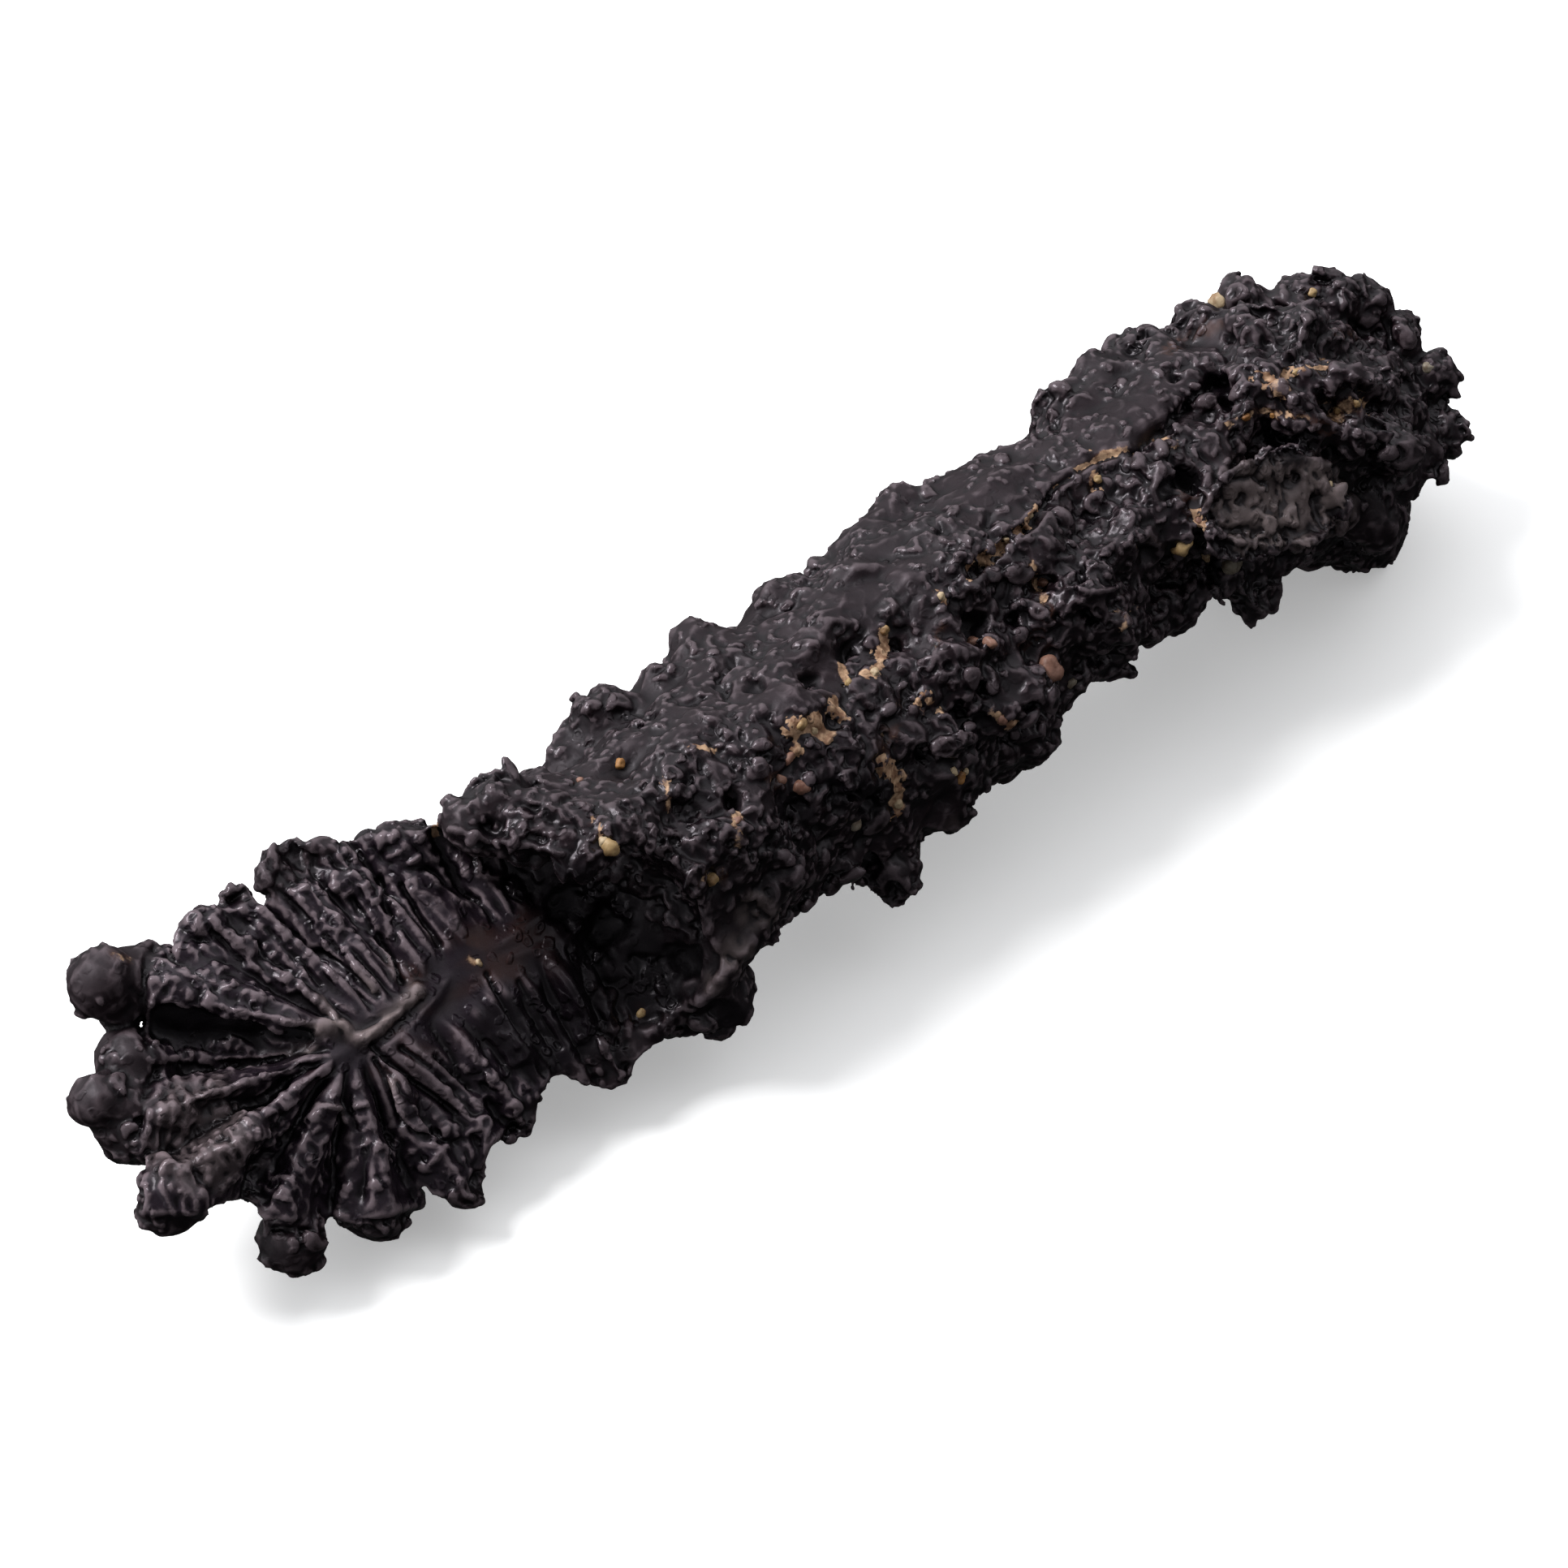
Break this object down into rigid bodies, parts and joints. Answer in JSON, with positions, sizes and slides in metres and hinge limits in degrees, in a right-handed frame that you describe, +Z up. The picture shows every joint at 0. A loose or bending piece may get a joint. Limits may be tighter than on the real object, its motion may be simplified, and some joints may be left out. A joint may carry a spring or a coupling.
{
  "type": "prophecy stone",
  "caption": "Stick-shaped iron-oxide concretion, knobbly all round, with one end broken open to a ribbed fan of crystals.",
  "frame": {"origin": "centre of the overall box on the surface that the stone lies on", "axes": "+X along the stone from its broken, ribbed end to its far end, +Z up, broken face leaning from level towards -Y"},
  "size_m": [0.059, 0.0124, 0.0116],
  "materials": {
    "stone_skin": "semi-gloss brown-black varnish with tan deposits in the crevices"
  },
  "bodies": {
    "root": {"stone": "stone_skin"}
  },
  "joints": []
}
